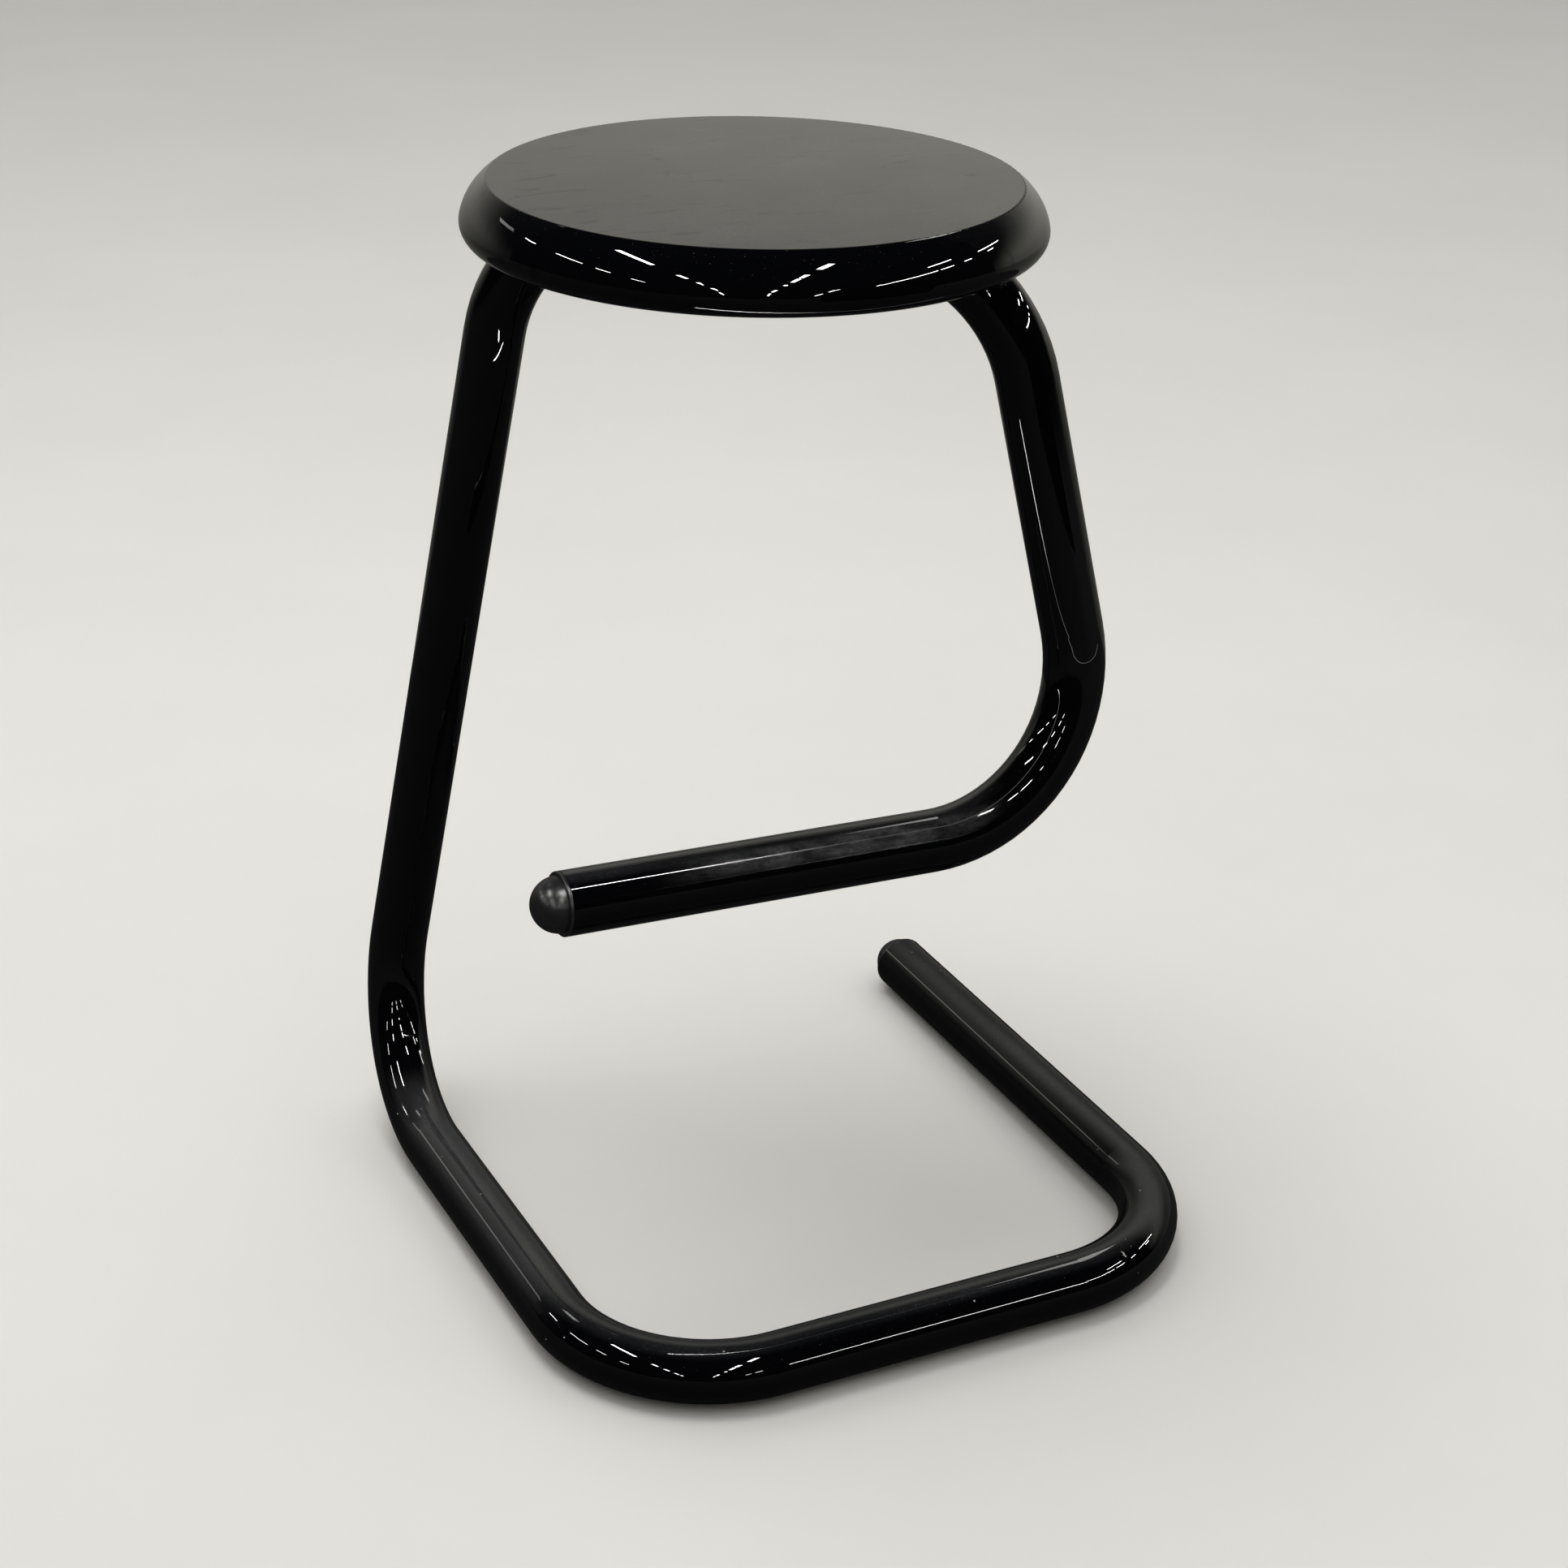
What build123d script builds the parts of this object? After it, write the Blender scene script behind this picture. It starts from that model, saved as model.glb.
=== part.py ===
from build123d import *
import math
import os

os.makedirs("parts", exist_ok=True)

# Bent-tube cantilever stool. Millimetres, +Z up, floor at z = 0.
# +X runs along the front floor run, +Y to the back.
# The origin is the middle of the whole stool's outline, on the floor.

# ---- tube ----
tube_od = 38.1
tube_wall = 2.1
bend_radius = 100.0

# ---- floor loop, corner to corner on the tube centreline ----
front_run = 405.0
left_run = 424.0
right_run_cut = 412.5

# ---- leaning legs and seat run, all in one upright diagonal plane ----
plane_angle = 42.0
seat_run_start = 110.0
seat_run_end = 409.0
footrest_corner = 491.5
seat_run_height = 640.0

# ---- footrest ----
footrest_height = 292.0
footrest_slope = 1.6
footrest_cut_x = 4.0

# ---- seat ----
seat_diameter = 347.0
seat_top = 667.0
pan_sheet = 2.0
crease_radius = 2.5
crease_angle = 56.0
face_radius = 35.5
face_angle = 12.0
roll_radius = 11.4
lip_length = 5.0
board_radius = 145.0
board_thickness = 15.0
groove_width = 39.0
groove_relief = 0.05
groove_overrun = 1.0

# ---- straps that hold the seat on the tube ----
strap_spacing = 90.0
strap_width = 25.0
strap_sheet = 2.5
strap_flange = 26.0
strap_corner = 5.0
strap_clearance = 0.05
screw_offset = 34.0
screw_shank_radius = 2.4
screw_hole_clearance = 0.05
screw_length = 10.0
screw_hole_extra = 1.0
screw_head_radius = 4.6
screw_head_height = 2.8
screw_head_round = 1.7
screw_slot_width = 1.1
screw_slot_depth = 1.4

# ---- end plugs ----
plug_dome_radius = 16.7
plug_flange = 2.5
plug_flange_round = 0.9
plug_core_radius = 13.0
plug_fin_radius = 16.9
plug_fin_thickness = 1.6
plug_first_fin = 3.0
plug_fin_pitch = 5.0
plug_fins = 4
plug_insert = 22.0
plug_hollow_radius = 10.5
plug_hollow_depth = 21.0

# ---- floor glides ----
glide_drop = 1.0
glide_radius = 6.0
glide_stem_radius = 3.5
glide_stem_clearance = 0.1
glide_barb_radius = 4.5
glide_barb_height = 2.5
glide_barb_taper = 35.0
glide_barb_gap = 0.05
glide_edge_round = 0.5
glide_front_inset = 115.0
glide_left_y = 290.0
glide_right_y = 380.0

# ---- derived positions ----
tube_radius = tube_od / 2
bore_radius = tube_radius - tube_wall
base_height = glide_drop + tube_radius
rear_tip = right_run_cut + plug_flange + plug_dome_radius
shift_x = front_run / 2
shift_y = (rear_tip - tube_radius) / 2


def at(x, y, z):
    """A point given from the front-left floor corner, moved to the stool's own origin."""
    return Vector(x - shift_x, y - shift_y, z)


def on_diagonal(distance, z):
    """A point in the upright plane through both legs, measured from the back of the left run."""
    angle = math.radians(plane_angle)
    return at(distance * math.cos(angle), left_run - distance * math.sin(angle), z)


corner_right = at(front_run, 0, base_height)
corner_left = at(0, 0, base_height)
corner_back = at(0, left_run, base_height)
corner_seat_left = on_diagonal(seat_run_start, seat_run_height)
corner_seat_right = on_diagonal(seat_run_end, seat_run_height)
corner_footrest = on_diagonal(footrest_corner, footrest_height)
tube_start = at(front_run, right_run_cut, base_height)

slope = math.radians(footrest_slope)
footrest_dir = Vector(-math.cos(slope), 0, math.sin(slope))
footrest_length = (corner_footrest.X - at(footrest_cut_x, 0, 0).X) / math.cos(slope)
tube_end = corner_footrest + footrest_dir * footrest_length

corners = [corner_right, corner_left, corner_back, corner_seat_left, corner_seat_right, corner_footrest]
route = [tube_start] + corners + [tube_end]

seat_centre = (corner_seat_left + corner_seat_right) / 2
run_dir = (corner_seat_right - corner_seat_left).normalized()
side_dir = Vector(-run_dir.Y, run_dir.X, 0)


def bend(before, corner, after):
    """Start, middle and end of the bend that rounds one corner of the route."""
    back = (before - corner).normalized()
    ahead = (after - corner).normalized()
    half_opening = math.radians(back.get_angle(ahead)) / 2
    tangent = bend_radius / math.tan(half_opening)
    bisector = (back + ahead).normalized()
    middle = corner + bisector * (bend_radius / math.sin(half_opening) - bend_radius)
    return corner + back * tangent, middle, corner + ahead * tangent


def glide_spots():
    """Floor points of the four glides, with the direction of the tube above each."""
    return {
        "glide_front_left": (at(glide_front_inset, 0, 0), Vector(1, 0, 0)),
        "glide_front_right": (at(front_run - glide_front_inset, 0, 0), Vector(1, 0, 0)),
        "glide_left_rear": (at(0, glide_left_y, 0), Vector(0, 1, 0)),
        "glide_right_rear": (at(front_run, glide_right_y, 0), Vector(0, 1, 0)),
    }


# ---- one continuous bent tube ----
with BuildPart() as tube_frame:
    with BuildLine() as centreline:
        last = tube_start
        for before, corner, after in zip(route[:-2], route[1:-1], route[2:]):
            bend_in, bend_middle, bend_out = bend(before, corner, after)
            Line(last, bend_in)
            ThreePointArc(bend_in, bend_middle, bend_out)
            last = bend_out
        Line(last, tube_end)
    with BuildSketch(Plane(origin=tube_start, z_dir=(0, -1, 0))):
        Circle(tube_radius)
        Circle(bore_radius, mode=Mode.SUBTRACT)
    sweep(path=centreline.wire())
    for spot, _ in glide_spots().values():
        with BuildSketch(Plane(origin=spot)):
            Circle(glide_stem_radius + glide_stem_clearance)
        extrude(amount=base_height, mode=Mode.SUBTRACT)
tube_frame.part.label = "tube_frame"
export_step(tube_frame.part, "parts/tube_frame.step")

# ---- seat pan: flat top, crease, broad rounded face, rolled under to a short lip, open below ----
seat_plane = Plane(origin=(seat_centre.X, seat_centre.Y, 0), x_dir=(1, 0, 0), z_dir=(0, -1, 0))


def turned(centre, radius, degrees):
    """The point at a distance and an angle from a centre, in the plane of the rim's profile."""
    angle = math.radians(degrees)
    return centre[0] + radius * math.cos(angle), centre[1] + radius * math.sin(angle)


def arc(centre, radius, start, end):
    """An arc of the rim's profile between two angles above the horizontal."""
    middle = (start + end) / 2
    return ThreePointArc(*[turned(centre, radius, angle) for angle in (start, middle, end)])


# The three outer arcs meet smoothly, and their widest point is the seat's radius.
crease_to_face = turned((0, 0), crease_radius - face_radius, crease_angle)
face_to_roll = turned((0, 0), face_radius - roll_radius, face_angle)
flat_radius = seat_diameter / 2 - roll_radius - crease_to_face[0] - face_to_roll[0]
crease_centre = (flat_radius, seat_top - crease_radius)
face_centre = (crease_centre[0] + crease_to_face[0], crease_centre[1] + crease_to_face[1])
roll_centre = (face_centre[0] + face_to_roll[0], face_centre[1] + face_to_roll[1])

# Inside, the flat meets the face at a plain corner, one sheet in from the outer arcs.
inner_top = seat_top - pan_sheet
inner_face = face_radius - pan_sheet
inner_roll = roll_radius - pan_sheet
corner_angle = math.degrees(math.asin((inner_top - face_centre[1]) / inner_face))
lip_end = roll_centre[0] - lip_length
lip_bottom = roll_centre[1] - roll_radius
with BuildPart() as seat_pan:
    with BuildSketch(seat_plane):
        with BuildLine():
            Line((0, seat_top), (flat_radius, seat_top))
            arc(crease_centre, crease_radius, 90, crease_angle)
            arc(face_centre, face_radius, crease_angle, face_angle)
            arc(roll_centre, roll_radius, face_angle, -90)
            Line((roll_centre[0], lip_bottom), (lip_end, lip_bottom))
            arc((lip_end, lip_bottom + pan_sheet / 2), pan_sheet / 2, 270, 90)
            Line((lip_end, lip_bottom + pan_sheet), (roll_centre[0], lip_bottom + pan_sheet))
            arc(roll_centre, inner_roll, -90, face_angle)
            arc(face_centre, inner_face, face_angle, corner_angle)
            Line(turned(face_centre, inner_face, corner_angle), (0, inner_top))
            Line((0, inner_top), (0, seat_top))
        make_face()
    revolve(axis=Axis((seat_centre.X, seat_centre.Y, 0), (0, 0, 1)))
seat_pan.part.label = "seat_pan"
export_step(seat_pan.part, "parts/seat_pan.step")

# ---- backing board inside the pan, grooved to sit over the tube ----
board_top = inner_top
board_bottom = board_top - board_thickness
groove_top = seat_run_height + tube_radius + groove_relief
strap_spots = [seat_centre - run_dir * (strap_spacing / 2), seat_centre + run_dir * (strap_spacing / 2)]
screw_spots = [spot + side_dir * (side * screw_offset) for spot in strap_spots for side in (-1, 1)]
with BuildPart() as seat_board:
    with BuildSketch(Plane(origin=(seat_centre.X, seat_centre.Y, board_bottom))):
        Circle(board_radius)
    extrude(amount=board_thickness)
    with BuildSketch(Plane(origin=(seat_centre.X, seat_centre.Y, board_bottom), x_dir=run_dir)):
        Rectangle(2 * (board_radius + groove_overrun), groove_width)
    extrude(amount=groove_top - board_bottom, mode=Mode.SUBTRACT)
    for spot in screw_spots:
        with BuildSketch(Plane(origin=(spot.X, spot.Y, board_bottom))):
            Circle(screw_shank_radius + screw_hole_clearance)
        extrude(amount=screw_length + screw_hole_extra, mode=Mode.SUBTRACT)
seat_board.part.label = "seat_board"
export_step(seat_board.part, "parts/seat_board.step")

# ---- two U straps under the tube, flanges up against the board ----
strap_inner = tube_radius + strap_clearance
strap_outer = strap_inner + strap_sheet
strap_rise = board_bottom - seat_run_height


def strap(centre):
    """One U strap, square to the seat run, with a hole in each flange."""
    start = centre - run_dir * (strap_width / 2)
    reach = strap_outer + strap_flange
    with BuildPart() as piece:
        with BuildSketch(Plane(origin=start, x_dir=side_dir, z_dir=run_dir)):
            with Locations((0, strap_rise - strap_sheet / 2)):
                Rectangle(2 * reach, strap_sheet)
            with Locations((0, strap_rise / 2)):
                Rectangle(2 * strap_outer, strap_rise)
            Circle(strap_outer)
            with Locations((0, strap_rise / 2)):
                Rectangle(2 * strap_inner, strap_rise, mode=Mode.SUBTRACT)
            Circle(strap_inner, mode=Mode.SUBTRACT)
            with Locations((0, strap_rise + strap_outer)):
                Rectangle(2 * reach, 2 * strap_outer, mode=Mode.SUBTRACT)
        extrude(amount=strap_width)
        ends = [edge for edge in piece.edges().filter_by(Axis.Z)
                if abs((edge.center() - centre).dot(side_dir)) > reach - 1]
        fillet(ends, strap_corner)
        for side in (-1, 1):
            hole = centre + side_dir * (side * screw_offset)
            with BuildSketch(Plane(origin=(hole.X, hole.Y, board_bottom - strap_sheet))):
                Circle(screw_shank_radius + screw_hole_clearance)
            extrude(amount=strap_sheet, mode=Mode.SUBTRACT)
    return piece.part


strap_left = strap(strap_spots[0])
strap_left.label = "strap_left"
export_step(strap_left, "parts/strap_left.step")

strap_right = strap(strap_spots[1])
strap_right.label = "strap_right"
export_step(strap_right, "parts/strap_right.step")

# ---- strap screws: round heads below the flanges, slotted ----
head_seat = board_bottom - strap_sheet
with BuildPart() as strap_screws:
    for spot in screw_spots:
        with BuildSketch(Plane(origin=(spot.X, spot.Y, head_seat))):
            Circle(screw_shank_radius)
        extrude(amount=strap_sheet + screw_length)
        with BuildSketch(Plane(origin=(spot.X, spot.Y, head_seat - screw_head_height))):
            Circle(screw_head_radius)
        extrude(amount=screw_head_height)
        head = strap_screws.edges().group_by(Axis.Z)[0].filter_by(GeomType.CIRCLE)
        fillet(head.sort_by_distance((spot.X, spot.Y, head_seat))[0], screw_head_round)
    for spot in screw_spots:
        with BuildSketch(Plane(origin=(spot.X, spot.Y, head_seat - screw_head_height), x_dir=run_dir)):
            Rectangle(2 * screw_head_radius, screw_slot_width)
        extrude(amount=screw_slot_depth, mode=Mode.SUBTRACT)
strap_screws.part.label = "strap_screws"
export_step(strap_screws.part, "parts/strap_screws.step")


# ---- domed end plugs, pushed into the open tube ends ----
def end_plug(mouth, outward):
    """A domed plug: finned insert in the bore, a flange on the tube's edge, a dome outside."""
    with BuildPart() as piece:
        with BuildSketch(Plane(origin=mouth, z_dir=outward)):
            Circle(tube_radius)
        extrude(amount=plug_flange)
        fillet(piece.edges().filter_by(GeomType.CIRCLE), plug_flange_round)
        face_plane = Plane(origin=mouth + outward * plug_flange, z_dir=outward)
        with BuildSketch(Plane(origin=face_plane.origin, x_dir=face_plane.x_dir, z_dir=face_plane.y_dir)):
            with BuildLine():
                CenterArc((0, 0), plug_dome_radius, 0, -90)
                Line((0, -plug_dome_radius), (0, 0))
                Line((0, 0), (plug_dome_radius, 0))
            make_face()
        revolve(axis=Axis(face_plane.origin, outward))
        with BuildSketch(Plane(origin=mouth, z_dir=-outward)):
            Circle(plug_core_radius)
        extrude(amount=plug_insert)
        for index in range(plug_fins):
            fin_at = mouth - outward * (plug_first_fin + plug_fin_pitch * index)
            with BuildSketch(Plane(origin=fin_at, z_dir=-outward)):
                Circle(plug_fin_radius)
            extrude(amount=plug_fin_thickness)
        with BuildSketch(Plane(origin=mouth - outward * plug_insert, z_dir=outward)):
            Circle(plug_hollow_radius)
        extrude(amount=plug_hollow_depth, mode=Mode.SUBTRACT)
    return piece.part


footrest_plug = end_plug(tube_end, footrest_dir)
footrest_plug.label = "footrest_plug"
export_step(footrest_plug, "parts/footrest_plug.step")

base_plug = end_plug(tube_start, Vector(0, 1, 0))
base_plug.label = "base_plug"
export_step(base_plug, "parts/base_plug.step")


# ---- push-in floor glides: flat below, hollowed to the tube above ----
def glide(spot, along):
    """A round button with a stem and barb through the underside of the tube."""
    across = Vector(-along.Y, along.X, 0)
    barb_start = base_height - math.sqrt(bore_radius**2 - glide_barb_radius**2) + glide_barb_gap
    tube_axis_start = spot + Vector(0, 0, base_height) - along * tube_radius
    with BuildPart() as piece:
        with BuildSketch(Plane(origin=spot)):
            Circle(glide_radius)
        extrude(amount=base_height / 2)
        fillet(piece.edges().group_by(Axis.Z)[0], glide_edge_round)
        with BuildSketch(Plane(origin=tube_axis_start, x_dir=across, z_dir=along)):
            Circle(tube_radius)
        extrude(amount=tube_od, mode=Mode.SUBTRACT)
        with BuildSketch(Plane(origin=spot + Vector(0, 0, glide_drop / 2))):
            Circle(glide_stem_radius)
        extrude(amount=barb_start - glide_drop / 2)
        with BuildSketch(Plane(origin=spot + Vector(0, 0, barb_start))):
            Circle(glide_barb_radius)
        extrude(amount=glide_barb_height, taper=glide_barb_taper)
    return piece.part


for name, (spot, along) in glide_spots().items():
    button = glide(spot, along)
    button.label = name
    export_step(button, "parts/" + name + ".step")
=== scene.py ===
import math

import bpy
from mathutils import Matrix, Vector


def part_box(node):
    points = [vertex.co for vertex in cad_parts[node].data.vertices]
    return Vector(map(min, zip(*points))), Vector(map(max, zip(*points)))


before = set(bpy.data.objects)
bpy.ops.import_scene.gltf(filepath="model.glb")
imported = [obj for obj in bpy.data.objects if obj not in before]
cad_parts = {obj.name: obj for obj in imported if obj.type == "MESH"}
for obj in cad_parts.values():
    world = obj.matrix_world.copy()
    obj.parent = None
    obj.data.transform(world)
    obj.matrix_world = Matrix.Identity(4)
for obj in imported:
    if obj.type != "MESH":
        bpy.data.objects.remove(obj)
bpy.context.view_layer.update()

# Looks for the bent-tube stool: procedural finishes, floor, light and camera.
# Metres, +Z up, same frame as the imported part.

scene = bpy.context.scene

# ---------------------------------------------------------------- node helpers


class Nodes:
    """A small wrapper that makes shader nodes and joins them in one line."""

    def __init__(self, tree):
        self.tree = tree
        tree.nodes.clear()

    def add(self, kind, props=None, **inputs):
        """One node. An input is named as Blender names it, with _ for a space, or i and its number."""
        node = self.tree.nodes.new(kind)
        for name, value in (props or {}).items():
            setattr(node, name, value)
        for name, value in inputs.items():
            numbered = name[0] == "i" and name[1:].isdigit()
            self.put(node, int(name[1:]) if numbered else name.replace("_", " "), value)
        return node

    def put(self, node, key, value):
        socket = node.inputs[key]
        if isinstance(value, bpy.types.NodeSocket):
            self.tree.links.new(value, socket)
        elif isinstance(value, bpy.types.Node):
            self.tree.links.new(value.outputs[0], socket)
        else:
            socket.default_value = value

    def math(self, operation, a, b=0.0, clamp=False):
        props = {"operation": operation, "use_clamp": clamp}
        return self.add("ShaderNodeMath", props, i0=a, i1=b).outputs[0]

    def times(self, a, b, clamp=False):
        return self.math("MULTIPLY", a, b, clamp)

    def plus(self, a, b, clamp=False):
        return self.math("ADD", a, b, clamp)

    def far_from(self, a, b):
        return self.math("ABSOLUTE", self.math("SUBTRACT", a, b))

    def axes(self, vector):
        """The outputs X, Y and Z of a vector."""
        return self.add("ShaderNodeSeparateXYZ", None, Vector=vector).outputs

    def vector(self, operation, a, b):
        """The node of one vector operation."""
        return self.add("ShaderNodeVectorMath", {"operation": operation}, i0=a, i1=b)

    def dot(self, a, b):
        return self.vector("DOT_PRODUCT", a, b).outputs["Value"]

    def noise(self, vector, scale, detail=3.0, roughness=0.5, distortion=0.0):
        node = self.add("ShaderNodeTexNoise", None, Vector=vector, Scale=scale, Detail=detail,
                        Roughness=roughness, Distortion=distortion)
        return node.outputs["Fac"]

    def ramp(self, value, low, high, out_low=0.0, out_high=1.0):
        """A smooth clamped step of value from low to high."""
        node = self.add("ShaderNodeMapRange", {"clamp": True, "interpolation_type": "SMOOTHSTEP"})
        self.put(node, "Value", value)
        self.put(node, "From Min", low)
        self.put(node, "From Max", high)
        self.put(node, "To Min", out_low)
        self.put(node, "To Max", out_high)
        return node.outputs["Result"]

    def mix(self, factor, a, b):
        node = self.add("ShaderNodeMix", {"data_type": "RGBA"})
        self.put(node, 0, factor)
        self.put(node, 6, a)
        self.put(node, 7, b)
        return node.outputs[2]

    def stretched(self, coords, scale, rotation=(0, 0, 0)):
        return self.add("ShaderNodeMapping", None, Vector=coords, Scale=scale, Rotation=rotation).outputs[0]

    def bump(self, strength, depth, height):
        return self.add("ShaderNodeBump", None, Strength=strength, Distance=depth, Height=height)


def new_material(name):
    """A material, the maker of its nodes, and its object coordinates."""
    material = bpy.data.materials.new(name)
    material.use_nodes = True
    n = Nodes(material.node_tree)
    return material, n, n.add("ShaderNodeTexCoord").outputs["Object"]


def surface(n, **inputs):
    shader = n.add("ShaderNodeBsdfPrincipled", None, **inputs)
    n.add("ShaderNodeOutputMaterial", None, Surface=shader.outputs[0])


# ---------------------------------------------------------------- places on the stool

tube_low, tube_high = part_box("tube_frame")
plug_low, plug_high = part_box("footrest_plug")
footrest_height = (plug_low[2] + plug_high[2]) / 2
footrest_y = (plug_low[1] + plug_high[1]) / 2
footrest_start = plug_high[0]

# The right-front corner carries a few knocks, and one scratch crossed by another: direction and length of each.
KNOCKED_CORNER = (tube_high[0] - 0.057, tube_low[1] + 0.019, tube_low[2] + 0.019)
SCRATCH_PLACE = Vector((tube_high[0] - 0.0864, tube_low[1] + 0.0132, tube_low[2] + 0.0347))
SCRATCHES = (((0.40, -0.72, -0.56), 0.0052), ((-0.25, -0.78, -0.57), 0.0030))

# ---------------------------------------------------------------- wear


def streaks(n, coords, scale, turn, low, high):
    """Thin hairline marks: noise pulled out along one axis and cut off near its peaks."""
    return n.ramp(n.noise(n.stretched(coords, scale, turn), 1.0, 2.0, 0.7), low, high)


def chips_in(n, coords, scale, size, share):
    """Small ragged chips: the middles of a few cells of a cell pattern."""
    cells = n.add("ShaderNodeTexVoronoi", None, Vector=coords, Scale=scale, Randomness=1.0)
    picked = n.add("ShaderNodeSeparateColor", None, Color=cells.outputs["Color"]).outputs["Red"]
    ragged = n.times(n.noise(coords, scale * 14, 2.0, 0.6), size)
    outside = n.ramp(n.plus(cells.outputs["Distance"], ragged), size, size * 1.25)
    return n.times(n.math("SUBTRACT", 1.0, outside), n.math("LESS_THAN", picked, share))


def scratch(n, coords, place, direction, length):
    """One short straight scratch through a place on the surface."""
    way = Vector(direction).normalized()
    offset = n.vector("SUBTRACT", coords, place)
    along = n.math("ABSOLUTE", n.dot(offset, way))
    across = n.add("ShaderNodeVectorMath", {"operation": "LENGTH"}, i0=n.vector("CROSS_PRODUCT", offset, way))
    inside = n.ramp(along, length * 0.4, length * 0.5, 1.0, 0.0)
    return n.times(inside, n.ramp(across.outputs["Value"], 0.0003, 0.0007, 0.5, 0.0))


def tube_chips(n, coords):
    """Chips near the floor, a few anywhere, the knocks at one corner and its crossed scratch."""
    low_down = n.ramp(n.axes(coords)["Z"], 0.03, 0.05, 1.0, 0.0)
    chips = n.times(chips_in(n, coords, 160.0, 0.16, 0.03), low_down)
    chips = n.plus(chips, chips_in(n, coords, 70.0, 0.06, 0.012), clamp=True)
    corner = n.vector("DISTANCE", coords, KNOCKED_CORNER).outputs["Value"]
    knocks = n.times(chips_in(n, coords, 260.0, 0.15, 0.22), n.ramp(corner, 0.02, 0.035, 1.0, 0.0))
    chips = n.plus(chips, knocks, clamp=True)
    for direction, length in SCRATCHES:
        chips = n.plus(chips, scratch(n, coords, SCRATCH_PLACE, direction, length), clamp=True)
    return chips


def left_run_painted_sheen(n, place, normal):
    """Painted sheen on the upper side of the left floor run: greyer and duller there, standing in for the pale
    wall's reflection.
    """
    beside = n.ramp(place["X"], tube_low[0] + 0.045, tube_low[0] + 0.06, 1.0, 0.0)
    below = n.ramp(place["Z"], tube_low[2] + 0.040, tube_low[2] + 0.055, 1.0, 0.0)
    behind = n.ramp(place["Y"], tube_low[1] + 0.08, tube_low[1] + 0.16, 0.0, 0.22)
    return n.times(n.times(n.times(beside, below), behind), n.ramp(n.axes(normal)["Z"], 0.35, 0.75))


def shoe_wear(n, coords, place, normal):
    """Mottled wear along the upper front of the footrest, left by shoes."""
    level = n.ramp(n.far_from(place["Z"], footrest_height), 0.03, 0.04, 1.0, 0.0)
    line = n.ramp(n.far_from(place["Y"], footrest_y), 0.03, 0.04, 1.0, 0.0)
    begin = n.ramp(place["X"], footrest_start + 0.02, footrest_start + 0.12)
    end = n.ramp(place["X"], footrest_start + 0.2, footrest_start + 0.28, 1.0, 0.0)
    band = n.ramp(n.dot(normal, (0, -0.66, 0.75)), 0.90, 0.985)
    patches = n.ramp(n.noise(n.stretched(coords, (45, 90, 90)), 1.0, 3.0, 0.6, 0.2), 0.3, 0.65, 0.25, 1.0)
    fine = n.ramp(n.noise(n.stretched(coords, (260, 500, 500)), 1.0, 3.0, 0.7), 0.3, 0.7, 0.55, 1.0)
    where = n.times(n.times(level, line), n.times(n.times(begin, end), band))
    return n.times(where, n.times(patches, fine))


def tube_rub_and_painted_sheen(n, coords, normal):
    """How far the tube's shine is rubbed dull by shoes, and where it carries the painted sheen of the left floor
    run.
    """
    place = n.axes(coords)
    return n.plus(shoe_wear(n, coords, place, normal), left_run_painted_sheen(n, place, normal), clamp=True)


def seat_rub(n, coords, normal):
    """Faint wiped smudges on the flat of the seat."""
    smudge = n.noise(n.stretched(coords, (14, 30, 14), (0, 0, 0.4)), 1.0, 4.0, 0.6, 0.8)
    smear = n.noise(n.stretched(coords, (22, 80, 22), (0, 0, 0.45)), 1.0, 4.0, 0.62, 0.5)
    both = n.plus(n.times(n.ramp(smudge, 0.42, 0.75), 0.25), n.ramp(smear, 0.58, 0.72), clamp=True)
    return n.times(both, n.ramp(n.axes(normal)["Z"], 0.9, 0.99))


def seat_wipe(n, coords):
    """Share of the seat's dust that is left: growing across the seat along one level direction, so the flat is
    lighter on that side, and less in a few darker smears.
    """
    spread = n.ramp(n.dot(coords, (0.95, 0.3, 0)), -0.16, 0.17, 0.9, 1.13)
    smear = n.noise(n.stretched(coords, (26, 90, 26), (0, 0, 0.45)), 1.0, 4.0, 0.62, 0.5)
    fleck = n.noise(n.stretched(coords, (120, 300, 120), (0, 0, 0.3)), 1.0, 2.0, 0.5)
    left = n.times(n.ramp(smear, 0.56, 0.70, 1.0, 0.62), n.ramp(fleck, 0.70, 0.76, 1.0, 0.55))
    return n.times(spread, left)


# ---------------------------------------------------------------- finishes

ENAMEL_BLACK = (0.0011, 0.0012, 0.0017, 1)
ENAMEL_SHINE = 0.34
HAIRLINE_GREY = (0.2, 0.2, 0.2, 1)
RUBBED_AND_SHEEN_GREY = (0.3, 0.3, 0.31, 1)
CHIP_COLOUR = (0.42, 0.4, 0.36, 1)
COOL_DUST = (0.2, 0.205, 0.215, 1)
WARM_DUST = (0.24, 0.23, 0.21, 1)


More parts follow.
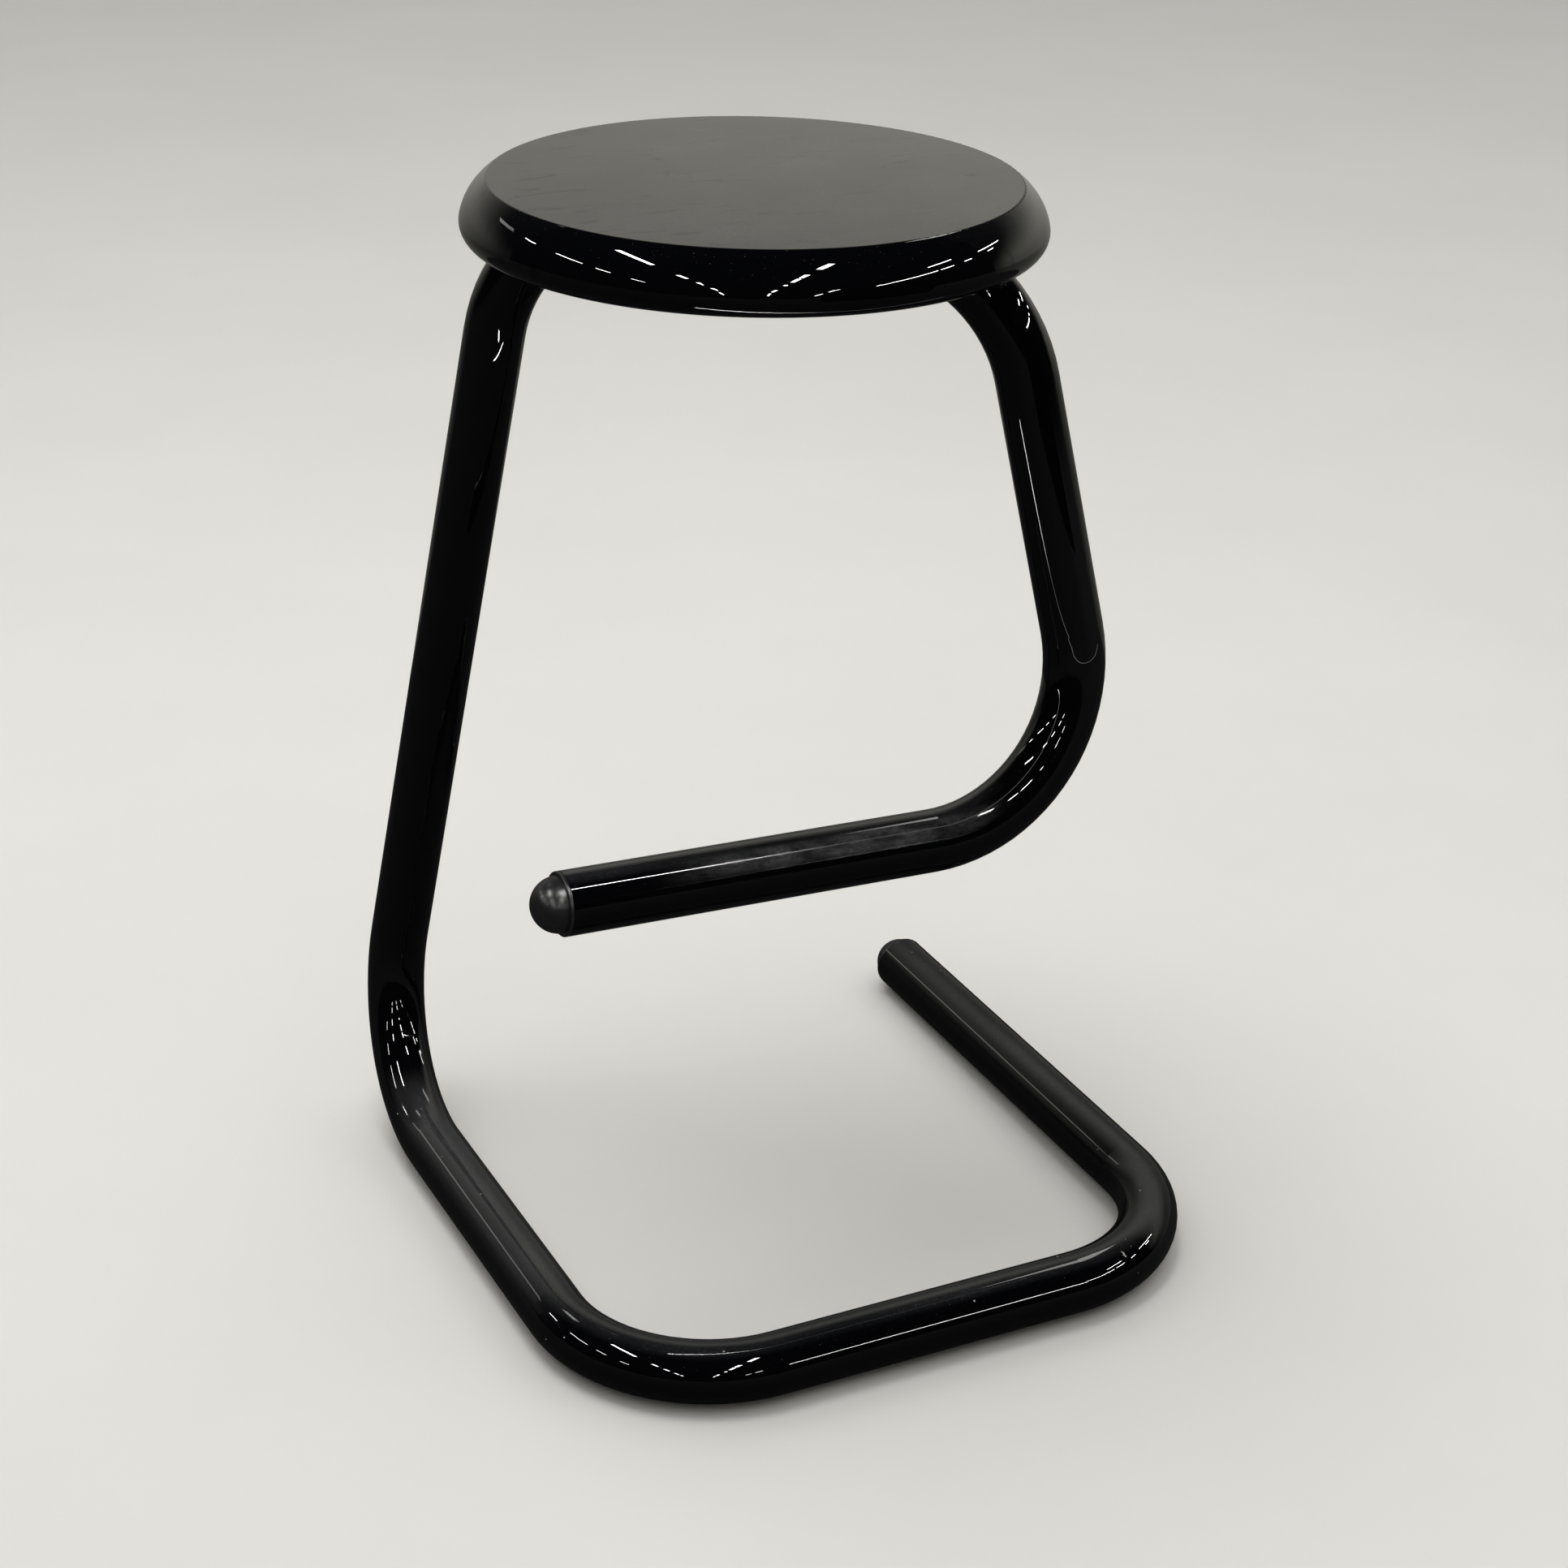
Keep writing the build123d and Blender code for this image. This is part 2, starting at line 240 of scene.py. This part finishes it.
def enamel(name, dust=0.1, dust_colour=COOL_DUST, dust_from=0.8, scuff=0.5, peel=0.004,
           low=0.012, high=0.03, chips_at=None, rub_and_sheen=None, rub_and_sheen_pale=0.04, wipe=None):
    """Gloss black stoving enamel, its roughness between low and high. Dust lies on faces whose normal's Z is
    above dust_from, and wipe thins it. Hairlines are everywhere, chips where chips_at says, and the shine is
    blurred and greyed where the rub function says: rubbed wear, and on the frame also a painted sheen. The last
    three are functions that make the nodes."""
    material, n, coords = new_material(name)
    normal = n.add("ShaderNodeNewGeometry").outputs["Normal"]
    up = n.axes(normal)["Z"]

    cloud = n.ramp(n.noise(coords, 9.0, 4.0, 0.6), 0.3, 0.75, 0.4, 1.0)
    speck = n.ramp(n.noise(coords, 420.0, 2.0, 0.6), 0.35, 0.8, 0.6, 1.0)
    settled = n.times(n.times(cloud, speck), n.ramp(up, dust_from, 0.99))
    shine = ENAMEL_SHINE
    if wipe:
        left = wipe(n, coords)
        settled = n.times(settled, left)
        shine = n.ramp(left, 0.5, 0.95, 0.2, ENAMEL_SHINE)
    grit = n.times(n.ramp(n.noise(coords, 900.0, 1.0, 0.5), 0.74, 0.8), n.ramp(up, 0.3, 0.8))
    dust_amount = n.plus(n.times(settled, dust), n.times(grit, 0.25), clamp=True)

    marks = n.plus(streaks(n, coords, (30, 900, 900), (0, 0, 0.3), 0.76, 0.82),
                   streaks(n, coords, (800, 40, 800), (0, 0, -0.5), 0.77, 0.83), clamp=True)
    marks = n.times(marks, scuff, clamp=True)
    base = n.mix(dust_amount, ENAMEL_BLACK, dust_colour)
    base = n.mix(n.times(marks, 0.12), base, HAIRLINE_GREY)
    rough = n.ramp(n.noise(coords, 23.0, 5.0, 0.62), 0.35, 0.8, low, high)
    rough = n.plus(rough, n.times(dust_amount, 0.3))
    rough = n.plus(rough, n.times(marks, 0.12), clamp=True)
    if rub_and_sheen:
        # Rubbed wear greys and dulls the enamel; on the frame this also paints a grey sheen on the left floor
        # run.
        rubbed_and_sheen = rub_and_sheen(n, coords, normal)
        base = n.mix(n.times(rubbed_and_sheen, rub_and_sheen_pale), base, RUBBED_AND_SHEEN_GREY)
        rough = n.plus(rough, n.times(rubbed_and_sheen, 0.22), clamp=True)

    bump = n.bump(peel, 0.0004, n.noise(coords, 160.0, 2.0, 0.5))
    if chips_at:
        chips = chips_at(n, coords)
        base = n.mix(chips, base, CHIP_COLOUR)
        rough = n.plus(rough, n.times(chips, 0.5), clamp=True)
        bump = n.add("ShaderNodeBump", {"invert": True}, Strength=0.25, Distance=0.0003, Height=chips,
                     Normal=bump.outputs[0])
    surface(n, Base_Color=base, Roughness=rough, IOR=1.5, Specular_IOR_Level=shine, Normal=bump.outputs[0])
    return material


def plastic(name, colour, roughness, grain_scale):
    """Moulded black plastic with a fine grain and a soft sheen."""
    material, n, coords = new_material(name)
    cloud = n.noise(coords, 60.0, 3.0, 0.5)
    paler = tuple(c * 1.3 + 0.001 for c in colour[:3]) + (1,)
    rough = n.plus(n.ramp(cloud, 0.3, 0.7, -0.015, 0.015), roughness)
    bump = n.bump(0.08, 0.0001, n.noise(coords, grain_scale, 3.0, 0.6))
    surface(n, Base_Color=n.mix(n.ramp(cloud, 0.35, 0.75), colour, paler), Roughness=rough, IOR=1.48,
            Normal=bump.outputs[0])
    return material


PLY_THICKNESS = 0.003


def plywood(name):
    """Black-stained plywood: long face grain, and thin plies that show on the edge and in the groove."""
    material, n, coords = new_material(name)
    up = n.axes(n.add("ShaderNodeNewGeometry").outputs["Normal"])["Z"]
    grain = n.noise(n.stretched(coords, (9, 160, 9)), 1.0, 5.0, 0.65, 0.6)
    face = n.mix(n.ramp(grain, 0.3, 0.75), (0.030, 0.027, 0.024, 1), (0.016, 0.014, 0.013, 1))
    plies = n.math("SINE", n.times(n.axes(coords)["Z"], 2 * math.pi / PLY_THICKNESS))
    edge = n.mix(n.ramp(plies, -0.4, 0.4), (0.045, 0.036, 0.028, 1), (0.018, 0.015, 0.013, 1))
    flat = n.ramp(n.math("ABSOLUTE", up), 0.4, 0.8)
    bump = n.bump(0.3, 0.0003, grain)
    surface(n, Base_Color=n.mix(flat, edge, face), Roughness=n.ramp(grain, 0.2, 0.8, 0.5, 0.7),
            Normal=bump.outputs[0])
    return material


def zinc(name):
    """Zinc-plated steel with a fine grain and patchy dullness."""
    material, n, coords = new_material(name)
    cloud = n.noise(coords, 300.0, 4.0, 0.6)
    base = n.mix(cloud, (0.62, 0.62, 0.6, 1), (0.42, 0.41, 0.38, 1))
    bump = n.bump(0.2, 0.0001, n.noise(coords, 1800.0, 2.0))
    surface(n, Base_Color=base, Metallic=1.0, Roughness=n.ramp(cloud, 0.3, 0.7, 0.25, 0.45),
            Normal=bump.outputs[0])
    return material


# The frame's rub function also paints a grey sheen, standing in for the wall's reflection, on the left floor
# run.
frame_enamel = enamel("frame_enamel", chips_at=tube_chips, rub_and_sheen=tube_rub_and_painted_sheen, rub_and_sheen_pale=0.2)
seat_enamel = enamel("seat_enamel", dust=0.12, dust_colour=WARM_DUST, dust_from=0.97, scuff=0.3,
                     rub_and_sheen=seat_rub, wipe=seat_wipe)
plug_plastic = plastic("plug_plastic", (0.008, 0.008, 0.009, 1), 0.3, 1400.0)
glide_nylon = plastic("glide_nylon", (0.012, 0.012, 0.012, 1), 0.5, 1500.0)
strap_paint = enamel("strap_paint", dust=0.0, scuff=0.6, peel=0.15, low=0.2, high=0.3, chips_at=tube_chips)

FINISH = {
    "tube_frame": frame_enamel,
    "seat_pan": seat_enamel,
    "seat_board": plywood("board_plywood"),
    "strap_left": strap_paint,
    "strap_right": strap_paint,
    "strap_screws": zinc("screw_zinc"),
    "footrest_plug": plug_plastic,
    "base_plug": plug_plastic,
    "glide_front_left": glide_nylon,
    "glide_front_right": glide_nylon,
    "glide_left_rear": glide_nylon,
    "glide_right_rear": glide_nylon,
}
for node_name, finish in FINISH.items():
    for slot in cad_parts[node_name].material_slots:
        slot.material = finish

# ---------------------------------------------------------------- floor and camera

FLOOR_REACH = 40.0


def add_mesh(name, points, faces, material):
    """A plain mesh object in the scene."""
    mesh = bpy.data.meshes.new(name)
    mesh.from_pydata(points, [], faces)
    mesh.materials.append(material)
    obj = bpy.data.objects.new(name, mesh)
    scene.collection.objects.link(obj)
    return obj


def floor_material():
    """Pale studio floor. In the gloss of the stool it shows as a dark one."""
    material, n, coords = new_material("pale_floor")
    mirrored = n.add("ShaderNodeLightPath").outputs["Is Glossy Ray"]
    cloud = n.noise(coords, 2.5, 4.0, 0.6)
    pale = n.mix(cloud, (0.60, 0.59, 0.56, 1), (0.66, 0.65, 0.62, 1))
    dark = n.mix(cloud, (0.004, 0.004, 0.004, 1), (0.006, 0.006, 0.006, 1))
    bump = n.bump(0.1, 0.0005, n.noise(coords, 300.0, 3.0, 0.6))
    surface(n, Base_Color=n.mix(mirrored, pale, dark), Roughness=0.8, Normal=bump.outputs[0])
    return material


floor_corners = [(x * FLOOR_REACH, y * FLOOR_REACH, 0) for x, y in ((-1, -1), (1, -1), (1, 1), (-1, 1))]
add_mesh("studio_floor", floor_corners, [(0, 1, 2, 3)], floor_material())

# The camera stands where the photograph was taken from. The angles are in radians.
CAMERA_YAW = 0.468
CAMERA_PITCH = 0.4366
CAMERA_ROLL = 0.0256
CAMERA_PLACE = Vector((-0.7941, -1.5647, 1.1115))
FOCAL_PIXELS = 3815.6
IMAGE_PIXELS = 1932
SENSOR_WIDTH = 36.0

camera_data = bpy.data.cameras.new("camera")
camera_data.sensor_width = SENSOR_WIDTH
camera_data.lens = FOCAL_PIXELS / IMAGE_PIXELS * SENSOR_WIDTH
camera = bpy.data.objects.new("camera", camera_data)
scene.collection.objects.link(camera)

# Level directions away from the camera and to its right, then the camera's own axes.
heading = Vector((math.sin(CAMERA_YAW), math.cos(CAMERA_YAW), 0))
right = Vector((math.cos(CAMERA_YAW), -math.sin(CAMERA_YAW), 0))
forward = heading * math.cos(CAMERA_PITCH) - Vector((0, 0, math.sin(CAMERA_PITCH)))
upward = right.cross(forward)
turned_right = right * math.cos(CAMERA_ROLL) + upward * math.sin(CAMERA_ROLL)
turned_up = -right * math.sin(CAMERA_ROLL) + upward * math.cos(CAMERA_ROLL)
camera.matrix_world = Matrix.Translation(CAMERA_PLACE) @ Matrix(
    (turned_right, turned_up, -forward)).transposed().to_4x4()
scene.camera = camera

# ---------------------------------------------------------------- soft light


def soft_light(name, place, target, size, watts):
    """A square lamp that lights the scene and doesn't show in the gloss."""
    data = bpy.data.lights.new(name, "AREA")
    data.shape = "RECTANGLE"
    data.size = data.size_y = size
    data.energy = watts
    light = bpy.data.objects.new(name, data)
    scene.collection.objects.link(light)
    light.location = place
    light.rotation_mode = "QUATERNION"
    light.rotation_quaternion = (Vector(target) - Vector(place)).to_track_quat("-Z", "Y")
    light.visible_glossy = False


soft_light("ceiling_soft", heading * 0.8 + Vector((0, 0, 4.5)), heading * 0.8, 9.0, 260.0)
soft_light("key_soft", (-0.4, 0.5, 3.0), (0, 0, 0), 1.4, 40.0)

# ---------------------------------------------------------------- cards that show only in the gloss


def card(name, corners_list, material):
    """One mesh of separate four-cornered cards, hidden from all but the shine on the stool."""
    points = [tuple(point) for corners in corners_list for point in corners]
    faces = [tuple(range(k, k + 4)) for k in range(0, len(points), 4)]
    obj = add_mesh(name, points, faces, material)
    obj.visible_camera = False
    obj.visible_diffuse = False
    obj.visible_transmission = False
    obj.visible_shadow = False


def upright(middle, half_side, low, high):
    """Corners of an upright card: half_side is its half width, as a level vector."""
    return [middle + half_side * side + Vector((0, 0, z))
            for side, z in ((-1, low), (1, low), (1, high), (-1, high))]


def glowing(name, colour, strength):
    material, n, _ = new_material(name)
    glow = n.add("ShaderNodeEmission", None, Color=colour, Strength=strength)
    n.add("ShaderNodeOutputMaterial", None, Surface=glow.outputs[0])
    return material


# A pale wall behind the stool. Lamps beyond it show through.
WALL_DISTANCE = 0.9
WALL_HALF_WIDTH = 4.0
WALL_HEIGHT = 2.5
WALL_GLOW = 0.74
WALL_COLOUR = (1.0, 0.985, 0.88, 1)


def wall_glow():
    """Pale wall, brightest at table height and fading upwards, downwards and to the sides."""
    material, n, coords = new_material("wall_glow")
    height = n.axes(coords)["Z"]
    sideways = n.dot(coords, right)
    low_part = n.ramp(height, 0.3, 0.9, 0.2, 1.0)
    high_part = n.ramp(height, 0.6, 1.5, 1.0, 0.04)
    left_part = n.ramp(sideways, -3.2, 0.4, 0.12, 1.0)
    right_part = n.ramp(sideways, 1.5, 3.8, 1.0, 0.2)
    bright = n.times(n.times(low_part, high_part), n.times(left_part, right_part))
    glow = n.add("ShaderNodeEmission", None, Color=WALL_COLOUR, Strength=n.times(bright, WALL_GLOW))
    both = n.add("ShaderNodeAddShader", None, i0=glow, i1=n.add("ShaderNodeBsdfTransparent"))
    n.add("ShaderNodeOutputMaterial", None, Surface=both.outputs[0])
    return material


wall_corners = upright(heading * WALL_DISTANCE, right * WALL_HALF_WIDTH, 0.0, WALL_HEIGHT)
card("wall_card", [wall_corners], wall_glow())

# Ceiling lamps: for each row its distance to the right of the stool, then the near and far ends of its lamps
# along the camera's heading.
LAMP_HEIGHT = 5.0
LAMP_COLOUR = (1.0, 0.99, 0.96, 1)
NEAR_ROWS = {
    -8.3: ((-9.4, -7.6), (-5.3, -3.9), (-2.7, -0.4), (1.5, 2.7)),
    -3.0: ((-16.6, -14.4), (-13.1, -10.9), (-8.7, -7.3), (-5.8, -4.8), (-2.6, -0.4)),
    1.8: ((-16.6, -14.4), (-13.1, -10.9), (-7.8, -7.3), (-6.1, -4.9), (-4.6, -3.8), (-2.6, -1.6)),
    7.3: ((-16.6, -14.4), (-13.1, -10.9), (-1.7, 0.1)),
    8.5: ((2.3, 4.9),),
}
LONG_ROWS = {10.2: ((-9.0, -2.1), (-1.8, -0.5), (0.6, 1.4), (3.4, 4.2))}
DISTANT_ROWS = {
    -3.0: ((2.4, 3.4),),
    1.8: ((2.6, 4.8),),
}
SOFT_ROWS = {-8.3: ((4.2, 6.8),)}


def lamp_rows(name, rows, width, strength):
    """Long narrow glowing panels under the ceiling, in rows that run along the camera's heading."""
    lamps = []
    for row, spans in rows.items():
        for near, far in spans:
            lamps.append([right * (row + side * width / 2) + heading * end + Vector((0, 0, LAMP_HEIGHT))
                          for side, end in ((-1, near), (1, near), (1, far), (-1, far))])
    card(name, lamps, glowing(name + "_glow", LAMP_COLOUR, strength))


lamp_rows("near_lamps", NEAR_ROWS, 0.2, 100.0)
lamp_rows("long_lamps", LONG_ROWS, 0.22, 140.0)
lamp_rows("distant_lamps", DISTANT_ROWS, 0.5, 5.5)
lamp_rows("soft_lamps", SOFT_ROWS, 1.0, 2.2)

# One thin lamp close above the footrest, fading and sinking towards the leg.
LINE_OFFSET = Vector((-0.04, -0.039, 0.10))
LINE_LENGTH = 0.46
LINE_HALF_WIDTH = 0.0008
LINE_SLOPE = math.radians(1.6)


def footrest_glow():
    """Glow of the thin lamp above the footrest."""
    material, n, coords = new_material("footrest_glow")
    fade = n.ramp(n.axes(coords)["X"], footrest_start + 0.02, footrest_start + 0.20, 230.0, 6.0)
    glow = n.add("ShaderNodeEmission", None, Color=(1.0, 0.99, 0.97, 1), Strength=fade)
    n.add("ShaderNodeOutputMaterial", None, Surface=glow.outputs[0])
    return material


line_start = Vector((footrest_start, footrest_y, footrest_height)) + LINE_OFFSET
line_end = line_start + Vector((LINE_LENGTH, 0, -LINE_LENGTH * math.tan(LINE_SLOPE)))
line_half = Vector((0.0, LINE_HALF_WIDTH, 0.0))
line_corners = [line_start - line_half, line_end - line_half, line_end + line_half, line_start + line_half]
card("footrest_lamp", [line_corners], footrest_glow())

# A dark card hides the long row of lamps from the footrest.
beside = Vector((footrest_start + 0.12, footrest_y, 0)) - heading * 0.44 + right * 0.54
beside_half = (right * 0.63 + heading * 0.78) * 0.32
card("beside_card", [upright(beside, beside_half, 0.41, 0.84)], glowing("dark_card", (0.6, 0.65, 0.8, 1), 0.004))

# ---------------------------------------------------------------- world

ROOM_LIGHT = (0.30, 0.30, 0.29, 1)
ROOM_IN_GLOSS = (0.008, 0.008, 0.009, 1)
BACKDROP = (0.62, 0.61, 0.58, 1)

world = bpy.data.worlds.new("studio")
scene.world = world
world.use_nodes = True
w = Nodes(world.node_tree)
rays = w.add("ShaderNodeLightPath").outputs
room = w.mix(rays["Is Glossy Ray"], ROOM_LIGHT, ROOM_IN_GLOSS)
seen = w.mix(rays["Is Camera Ray"], room, BACKDROP)
w.add("ShaderNodeOutputWorld", None, Surface=w.add("ShaderNodeBackground", None, Color=seen).outputs[0])
scene.view_settings.view_transform = "Standard"
